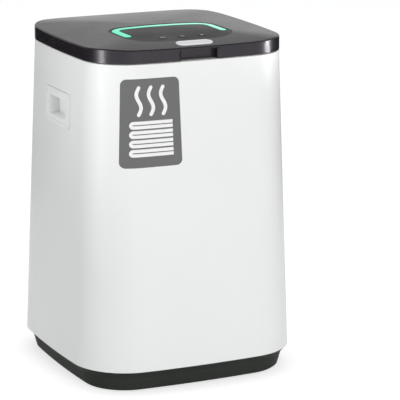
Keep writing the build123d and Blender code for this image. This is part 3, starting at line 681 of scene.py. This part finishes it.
def floor_material():
    """Matt white that the camera sees a little brighter, so that it runs into the background."""
    material = bpy.data.materials.new("pale_floor")
    material.use_nodes = True
    tree = material.node_tree
    tree.nodes.clear()
    output = tree.nodes.new("ShaderNodeOutputMaterial")
    paint = tree.nodes.new("ShaderNodeBsdfDiffuse")
    paint.inputs["Color"].default_value = (FLOOR_GREY, FLOOR_GREY, FLOOR_GREY, 1)
    glow = tree.nodes.new("ShaderNodeEmission")
    glow.inputs["Strength"].default_value = FLOOR_GLOW
    blank = tree.nodes.new("ShaderNodeEmission")
    blank.inputs["Strength"].default_value = 0
    seen = tree.nodes.new("ShaderNodeMixShader")
    add = tree.nodes.new("ShaderNodeAddShader")
    tree.links.new(seen_directly(tree), seen.inputs["Fac"])
    tree.links.new(blank.outputs[0], seen.inputs[1])
    tree.links.new(glow.outputs[0], seen.inputs[2])
    tree.links.new(paint.outputs[0], add.inputs[0])
    tree.links.new(seen.outputs[0], add.inputs[1])
    tree.links.new(add.outputs[0], output.inputs["Surface"])
    return material


def add_dark_card(name, start, end, paint):
    """Upright dark card on an arc round the object, between two angles, that only reflections show."""
    points = [(x, y, z) for x, y in arc(CARD_RADIUS, start, end, CARD_STEPS) for z in (CARD_FOOT, CARD_HEAD)]
    faces = [(2 * i, 2 * i + 2, 2 * i + 3, 2 * i + 1) for i in range(CARD_STEPS)]
    mesh = bpy.data.meshes.new(name)
    mesh.from_pydata(points, [], faces)
    card = link_object(name, mesh, paint)
    card.visible_camera = False
    card.visible_diffuse = False
    card.visible_transmission = False
    card.visible_shadow = False


def card_paint():
    """Dull black for the dark cards."""
    material = bpy.data.materials.new("card_black")
    material.use_nodes = True
    shader = material.node_tree.nodes["Principled BSDF"]
    shader.inputs["Base Color"].default_value = (0.01, 0.01, 0.01, 1)
    shader.inputs["Roughness"].default_value = 0.9
    shader.inputs["Specular IOR Level"].default_value = 0.1
    return material


class TOWELWARMER_OT_stage(bpy.types.Operator):
    """Sets the camera, the world, the pale floor, the lights and the dark cards"""

    bl_idname = "towel_warmer.stage"
    bl_label = "Stage"

    def execute(self, context):
        add_camera()
        add_world()
        add_floor("floor", floor_material())
        for light in LIGHTS:
            add_area(*light)
        paint = card_paint()
        for name, start, end in CARDS:
            add_dark_card(name, start, end, paint)
        context.scene.view_settings.view_transform = "Standard"
        return {"FINISHED"}


# ---------------------------------------------------------------- bucket and lid finishes

class TOWELWARMER_OT_shell(bpy.types.Operator):
    """Finishes the shell, rim, handles, base and feet"""

    bl_idname = "towel_warmer.shell"
    bl_label = "Shell and base"

    def execute(self, context):
        dress(moulded("shell_white", colours().shell, 0.42, change=0.015), "outer_shell")
        # The handles' white is lighter than the shell's: painted light that lifts the shade in their grip
        # recesses.
        grip_white_with_painted_light = moulded("handle_white_painted_light", (0.87, 0.88, 0.87), 0.36, edge=0.0009, change=0.015)
        dress(grip_white_with_painted_light, "handle_left", "handle_right")
        dress(moulded("rim_white", (0.80, 0.80, 0.76), 0.45), "top_rim")
        tray = moulded("base_dark", colours().base, 0.5, grain=0.0011, depth=0.00008, change=0.15)
        tray.shader.inputs["Specular IOR Level"].default_value = 0.02
        dress(tray, "base_tray")
        dress(rubbery("foot_rubber", (0.02, 0.02, 0.02)), "rubber_feet", "cord_gland")
        return {"FINISHED"}


class TOWELWARMER_OT_well(bpy.types.Operator):
    """Finishes the drawn aluminium bucket and what wraps it"""

    bl_idname = "towel_warmer.well"
    bl_label = "Well"

    def execute(self, context):
        dress(brushed("bucket_aluminium", (0.78, 0.78, 0.79), 0.32, (1, 1, 0.06)), "inner_bucket")
        dress(rubbery("heater_silicone", (0.36, 0.10, 0.03), 0.6), "heater_band", "floor_heater")
        dress(felted(), "insulation_jacket")
        return {"FINISHED"}


class TOWELWARMER_OT_electrics(bpy.types.Operator):
    """Finishes the boards, components and leads"""

    bl_idname = "towel_warmer.electrics"
    bl_label = "Electrics"

    def execute(self, context):
        dress(circuit_board(), "power_board", "control_board", "button_board")
        black = moulded("component_black", (0.02, 0.02, 0.022), 0.5, edge=0.0003)
        dress(black, "transformer", "filter_capacitor", "thermostat", "thermal_fuse", "key_switches",
              "button_switch")
        dress(moulded("component_blue", (0.02, 0.07, 0.30), 0.4, edge=0.0003), "relay")
        dress(moulded("component_green", (0.03, 0.22, 0.08), 0.45, edge=0.0003), "terminal_block")
        dress(moulded("emitter_white", (0.85, 0.83, 0.62), 0.25, edge=0.0002), "light_emitters")
        dress(brushed("clip_steel", (0.60, 0.60, 0.58), 0.35, (0.1, 1, 1)), "fuse_clip")
        dress(rubbery("lead_red", (0.28, 0.012, 0.012), 0.5), "heater_leads")
        dress(rubbery("lead_black", (0.02, 0.02, 0.02), 0.5), "main_harness", "lid_harness", "button_leads")
        return {"FINISHED"}


class TOWELWARMER_OT_lid(bpy.types.Operator):
    """Finishes the lid cover, its inner panel, gasket, hinge and control panel"""

    bl_idname = "towel_warmer.lid"
    bl_label = "Lid"

    def execute(self, context):
        cover = moulded("lid_black", colours().lid, 0.27, grain=0.0005, depth=0.000002, edge=0.0008,
                        spread=0.015)
        cover.shader.inputs["Specular Tint"].default_value = (0.97, 0.93, 1.0, 1)
        dress(cover, "lid_cover")
        panel = moulded("panel_dark", colours().panel, 0.42, grain=0.0005, depth=0.000012)
        dress(panel, "control_panel", "timer_key", "heat_key", "light_key")
        dress(moulded("lining_grey", (0.50, 0.51, 0.51), 0.5), "lid_inner_panel")
        dress(rubbery("gasket_silicone", (0.45, 0.45, 0.45), 0.6), "lid_gasket")
        dress(brushed("pin_steel", (0.60, 0.60, 0.61), 0.25, (0.1, 1, 1)), "hinge_pins")
        silver = moulded("button_silver", colours().button, 0.3, grain=0.0004, depth=0.000008, coat=0.3)
        dress(silver, "power_button")
        return {"FINISHED"}


# ---------------------------------------------------------------- pieces on the lid

# The flange round the light bar hides under the cover, and the slot it fills is twice this half wide.
BAR_FLANGE, BAR_HALF = 1.5 * MM, 7.0 * MM
# Thickness and corner radius of the lens and of the green edge, the green edge's gap beside it, and how far
# their tops lie under the crown.
STRIP_THICKNESS, STRIP_CORNER, EDGE_INSET = 1.2 * MM, 0.35 * MM, 0.1 * MM
LENS_DROP, EDGE_DROP = 0.05 * MM, 0.25 * MM


class TOWELWARMER_OT_light_bar(bpy.types.Operator):
    """Lens of the U-shaped light bar and the dark green edge beside it, partly painted slot shade, along the
    slot of the moulding
    """

    bl_idname = "towel_warmer.light_bar"
    bl_label = "Light bar"

    def execute(self, context):
        low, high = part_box("light_bar")
        arm_x = high[0] - BAR_FLANGE - BAR_HALF
        back_y = high[1] - BAR_FLANGE - BAR_HALF
        tip_y = low[1] + BAR_FLANGE + sizes().bar_border
        path = [(-arm_x, tip_y, 0), (-arm_x, back_y, 0), (arm_x, back_y, 0), (arm_x, tip_y, 0)]
        # The edge's dark green, with little shine, is partly the bezel's tint and partly painted shade of the
        # gap beside the lens.
        border = moulded("light_edge_and_slot_shade", colours().light_edge_and_slot_shade, 0.6, edge=0.0003)
        border.shader.inputs["Specular IOR Level"].default_value = 0.05
        dress(border, "light_bar")
        for name, finish, inset, drop in (("light_bar_lens", light_lens(), sizes().bar_border, LENS_DROP),
                                          ("light_bar_edge_and_slot_shade", border, EDGE_INSET, EDGE_DROP)):
            strip = lens_tree(finish.material).grow(name, path, edges=[(0, 1), (1, 2), (2, 3)], values={
                "Width": 2 * (BAR_HALF - inset), "Thickness": STRIP_THICKNESS, "Bend": sizes().bar_bend,
                "Edge": STRIP_CORNER, "Top": LID_TOP - drop, "Crown Radius": CROWN_RADIUS})
            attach(strip, "lid")
        return {"FINISHED"}


# The button's own top stands this far over the crown, in mm. The sections of its rim and dish list the inset
# from its outline and the lift over its top.
BUTTON_RISE = 0.8
RIM_SECTION = ((0.1, -0.8), (0.1, 0.05), (0.25, 0.35), (0.6, 0.60), (1.0, 0.68), (1.4, 0.64), (1.8, 0.46),
               (2.0, 0.26), (2.0, -0.8))
DISH_SECTION = ((2.05, -0.8), (2.05, 0.20), (2.3, 0.24), (3.2, 0.22), (5.0, 0.20), (7.0, 0.20), (8.6, 0.20))


def stadium(length, width, y):
    """Ring of points round a flat stadium with its middle at this y."""
    steps = 14
    radius = width / 2
    reach = length / 2 - radius
    ring = []
    for side in (1, -1):
        for step in range(steps + 1):
            angle = math.radians(-90 + 180 * step / steps + (0 if side > 0 else 180))
            ring.append((side * reach + radius * math.cos(angle), y + radius * math.sin(angle)))
    return ring


class TOWELWARMER_OT_button(bpy.types.Operator):
    """Raised rim, painted near white as a highlight along the button's edge, round a shallow satin dish, on
    the power button
    """

    bl_idname = "towel_warmer.button"
    bl_label = "Power button"

    def execute(self, context):
        low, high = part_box("power_button")
        middle = (high[1] + low[1]) / 2
        smooth = {"depth": 0.000001, "edge": 0.0, "spread": 0.02}
        # The rim is a lighter, glossier copy of the button's silver: the raised edge catches real light, and
        # its lighter colour is a painted highlight.
        rim_painted_highlight = moulded("button_rim_painted_highlight", (0.97, 0.97, 0.98), 0.2, coat=0.5, **smooth)
        satin = moulded("button_dish", colours().button, 0.32, coat=0.3, **smooth)
        for name, section, finish in (("button_rim_painted_highlight", RIM_SECTION, rim_painted_highlight),
                                      ("button_dish", DISH_SECTION, satin)):
            rings = []
            for inset, lift in section:
                around = 2 * inset * MM
                outline = stadium(high[0] - low[0] - around, high[1] - low[1] - around, middle)
                rings.append([(x, y, crown(x, y) + (BUTTON_RISE + lift) * MM) for x, y in outline])
            cap = ringed_solid(name, rings, finish.material, hollow=section is RIM_SECTION)
            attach(cap, "button")
        return {"FINISHED"}


# The key signs are drawn in mm about the middle of their key.
CLOCK_RADIUS, CLOCK_STROKE = 3.1, 0.55
CLOCK_HANDS = ([(0, 0), (0, 1.0), (0, 1.9)], [(0, 0), (0.7, -0.4), (1.3, -0.75)])
WAVE_PLACES, WAVE_SWING, WAVE_FOOT, WAVE_RISE, WAVE_STROKE = (-2.2, 0, 2.2), 0.55, -2.6, 0.52, 0.6
LAMP_RADIUS, RAY_REACHES, RAY_STROKE = 1.4, (2.3, 2.8, 3.3), 0.5


def clock_sign():
    """A ring of two half circles, and two hands."""
    halves = [ribbon(arc(CLOCK_RADIUS, start, start + 180), CLOCK_STROKE) for start in (0, 180)]
    return halves + [ribbon(hand, CLOCK_STROKE) for hand in CLOCK_HANDS]


def heat_sign():
    """Three upright waves."""
    waves = []
    for x in WAVE_PLACES:
        path = [(x + WAVE_SWING * math.sin(t * math.pi / 5), WAVE_FOOT + WAVE_RISE * t) for t in range(11)]
        waves.append(ribbon(path, WAVE_STROKE))
    return waves


def light_sign():
    """A disc with eight rays."""
    rays = []
    for angle in (math.radians(45 * i) for i in range(8)):
        rays.append(ribbon([(reach * math.cos(angle), reach * math.sin(angle)) for reach in RAY_REACHES],
                           RAY_STROKE))
    return rays + [arc(LAMP_RADIUS, 0, 345, 23)]


KEY_RAY_LEVEL = 0.6  # the rays that lay the signs start here, over the lid
KEY_INK = 0.00005  # thickness


class TOWELWARMER_OT_key_signs(bpy.types.Operator):
    """Small printed signs on the three keys"""

    bl_idname = "towel_warmer.key_signs"
    bl_label = "Key signs"

    def execute(self, context):
        ink = printed("sign_ink", (0.72, 0.72, 0.74), 0.4)
        signs = (("timer", "timer_key", "key_left", clock_sign),
                 ("heat", "heat_key", "key_middle", heat_sign),
                 ("light", "light_key", "key_right", light_sign))
        for name, node, body, draw in signs:
            low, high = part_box(node)
            x0, y0 = (low[0] + high[0]) / 2, (low[1] + high[1]) / 2
            shape = flat_faces([[(x * MM, y * MM) for x, y in outline] for outline in draw()])
            sign = lay_on(name + "_sign", shape, surface_of(node),
                          lambda x, y: Vector((x0 + x, y0 + y, KEY_RAY_LEVEL)),
                          (0, 0, -1), CONTACT_GAP, KEY_INK, ink.material)
            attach(sign, body)
        return {"FINISHED"}


# ---------------------------------------------------------------- pieces on the bucket

FRONT_RAY_Y = -0.5  # the rays that lay the label start here, in front of the shell
LABEL_CORNER, LABEL_GRID, MARK_GRID = 8 * MM, 5 * MM, 4 * MM
# The marks' ink lies this far over the film's thickness, and is this thick.
MARK_GAP, MARK_INK = 0.00008, 0.00006

# The label's towels: gap between two, half length, slot in the fold, and how far the stack's foot lies under
# the label's middle.
TOWEL_GAP, TOWEL_HALF, FOLD_SLOT, STACK_FOOT = 2.2 * MM, 31 * MM, 1.4 * MM, 46 * MM
# The label's waves: foot over the label's middle, pitch, width, swing, and rise of one step.
WARMTH_FOOT, WARMTH_PITCH, WARMTH_WIDTH = 12 * MM, 18 * MM, 5.2 * MM
WARMTH_SWING, WARMTH_STEP = 3.4 * MM, 2.3 * MM


def front_place(x, z):
    """Start of the ray that lays a point of the label on the shell, splayed towards the label's foot."""
    size = sizes()
    wider = 1 + size.label_splay * (size.label_z - z) / size.label_height
    return Vector((size.label_x + (x - size.label_x) * wider, FRONT_RAY_Y, z))


class TOWELWARMER_OT_label(bpy.types.Operator):
    """Grey label on the front, with a sign of stacked towels under rising warmth"""

    bl_idname = "towel_warmer.label"
    bl_label = "Front label"

    def execute(self, context):
        shell = surface_of("outer_shell")
        size = sizes()
        x0, x1 = size.label_x - size.label_width / 2, size.label_x + size.label_width / 2
        z0, z1 = size.label_z - size.label_height / 2, size.label_z + size.label_height / 2
        shape = flat_faces([rounded_rectangle(x0, x1, z0, z1, LABEL_CORNER, 8)])
        cut_in_grid(shape, LABEL_GRID)
        sheet = lay_on("front_label", shape, shell, front_place, (0, 1, 0), CONTACT_GAP, size.film,
                       printed("label_film", colours().label, 0.55).material)
        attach(sheet, "bucket")
        ink = printed("label_ink", (0.86, 0.86, 0.86), 0.5).material
        lift = size.film + MARK_GAP
        for name, shape in (("label_towels", self.towel_stack(ink)), ("label_warmth", self.warmth())):
            cut_in_grid(shape, MARK_GRID)
            mark = lay_on(name, shape, shell, front_place, (0, 1, 0), lift, MARK_INK, ink)
            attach(mark, "bucket")
        return {"FINISHED"}

    def towel_stack(self, ink):
        """Folded towels: two leaves joined by a round fold, stacked by the tree."""
        size = sizes()
        thick = size.towel_pitch - TOWEL_GAP
        left, right = size.label_x - TOWEL_HALF, size.label_x + TOWEL_HALF
        base = size.label_z - STACK_FOOT
        leaf = (thick - FOLD_SLOT) / 2
        bend_x, bend_z, half_slot = left + thick / 2, base + thick / 2, FOLD_SLOT / 2
        fold = [(bend_x - thick / 2 * math.sin(a), bend_z - thick / 2 * math.cos(a))
                for a in (math.pi * i / 12 for i in range(13))]
        slot = [(bend_x - half_slot * math.sin(a), bend_z + half_slot * math.cos(a))
                for a in (math.pi * i / 6 for i in range(7))]
        upper = [(right, base + thick), (right, base + thick - leaf)]
        lower = [(right, base + leaf), (right, base)]
        outline = fold + upper + slot + lower
        one = flat_faces([outline])
        mesh = bpy.data.meshes.new("towel")
        one.to_mesh(mesh)
        one.free()
        points = [tuple(v.co) for v in mesh.vertices]
        faces = [tuple(p.vertices) for p in mesh.polygons]
        stack = {"Count": size.towels, "Pitch": size.towel_pitch}
        grown = stack_tree(ink).grow("towels", points, faces=faces, values=stack)
        shape = bmesh.new()
        shape.from_mesh(grown.data)
        bpy.data.objects.remove(grown)
        return shape

    def warmth(self):
        """Three waves that rise over the towels."""
        size = sizes()
        base = size.label_z + WARMTH_FOOT
        waves = []
        for index in (-1, 0, 1):
            x = size.label_x + index * WARMTH_PITCH
            path = [(x + WARMTH_SWING * math.sin(t * math.pi / 8), base + t * WARMTH_STEP) for t in range(17)]
            waves.append(ribbon(path, WARMTH_WIDTH, 8))
        return flat_faces(waves)


# Places of the screws, mirrored into four, and the levels of their heads' lower faces.
BASE_SCREW_X, BASE_SCREW_Y, BASE_SCREW_LEVEL = 0.121, 0.121, 22.8 * MM
LID_SCREW_X, LID_SCREW_Y, LID_SCREW_LEVEL = 0.135, 0.055, 463.2 * MM
BASE_SCREW_HEIGHT, LID_SCREW_HEIGHT, LID_SCREW_RADIUS = 2.2 * MM, 1.4 * MM, 1.7 * MM
RECESS_SHARE = 0.26  # of a head's radius


class TOWELWARMER_OT_screws(bpy.types.Operator):
    """Screw heads under the base and in the lid's inner panel"""

    bl_idname = "towel_warmer.screws"
    bl_label = "Screws"

    def execute(self, context):
        tree = screw_tree(brushed("screw_zinc", (0.55, 0.55, 0.53), 0.35, (1, 1, 1)).material)
        corners = [(x, y) for x in (-1, 1) for y in (-1, 1)]
        base_spots = [(x * BASE_SCREW_X, y * BASE_SCREW_Y, BASE_SCREW_LEVEL) for x, y in corners]
        lid_spots = [(x * LID_SCREW_X, y * LID_SCREW_Y, LID_SCREW_LEVEL) for x, y in corners]
        sets = (("base_screws", base_spots, sizes().screw_head, BASE_SCREW_HEIGHT, "bucket"),
                ("lid_screws", lid_spots, LID_SCREW_RADIUS, LID_SCREW_HEIGHT, "lid"))
        for name, spots, radius, height, body in sets:
            heads = tree.grow(name, spots, values={
                "Head Radius": radius, "Head Height": height, "Recess Width": radius * RECESS_SHARE})
            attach(heads, body)
        return {"FINISHED"}


class TOWELWARMER_PT_panel(bpy.types.Panel):
    """Lists the steps that dress the towel warmer"""

    bl_label = "Towel Warmer"
    bl_idname = "TOWELWARMER_PT_panel"
    bl_space_type = "VIEW_3D"
    bl_region_type = "UI"
    bl_category = "Towel Warmer"

    def draw(self, context):
        for step in STEPS:
            self.layout.operator(step.bl_idname)


STEPS = (
    TOWELWARMER_OT_stage, TOWELWARMER_OT_shell, TOWELWARMER_OT_well, TOWELWARMER_OT_electrics,
    TOWELWARMER_OT_lid, TOWELWARMER_OT_light_bar, TOWELWARMER_OT_button, TOWELWARMER_OT_key_signs,
    TOWELWARMER_OT_label, TOWELWARMER_OT_screws,
)
CLASSES = (TowelWarmerSizes, TowelWarmerColours, *STEPS, TOWELWARMER_PT_panel)


def register():
    for item in CLASSES:
        bpy.utils.register_class(item)
    bpy.types.Scene.towel_warmer_sizes = PointerProperty(type=TowelWarmerSizes)
    bpy.types.Scene.towel_warmer_colours = PointerProperty(type=TowelWarmerColours)


def unregister():
    del bpy.types.Scene.towel_warmer_colours
    del bpy.types.Scene.towel_warmer_sizes
    for item in reversed(CLASSES):
        bpy.utils.unregister_class(item)


def main():
    register()
    bpy.ops.towel_warmer.stage()
    bpy.ops.towel_warmer.shell()
    bpy.ops.towel_warmer.well()
    bpy.ops.towel_warmer.electrics()
    bpy.ops.towel_warmer.lid()
    bpy.ops.towel_warmer.light_bar()
    bpy.ops.towel_warmer.button()
    bpy.ops.towel_warmer.key_signs()
    bpy.ops.towel_warmer.label()
    bpy.ops.towel_warmer.screws()


if __name__ == "__main__":
    main()
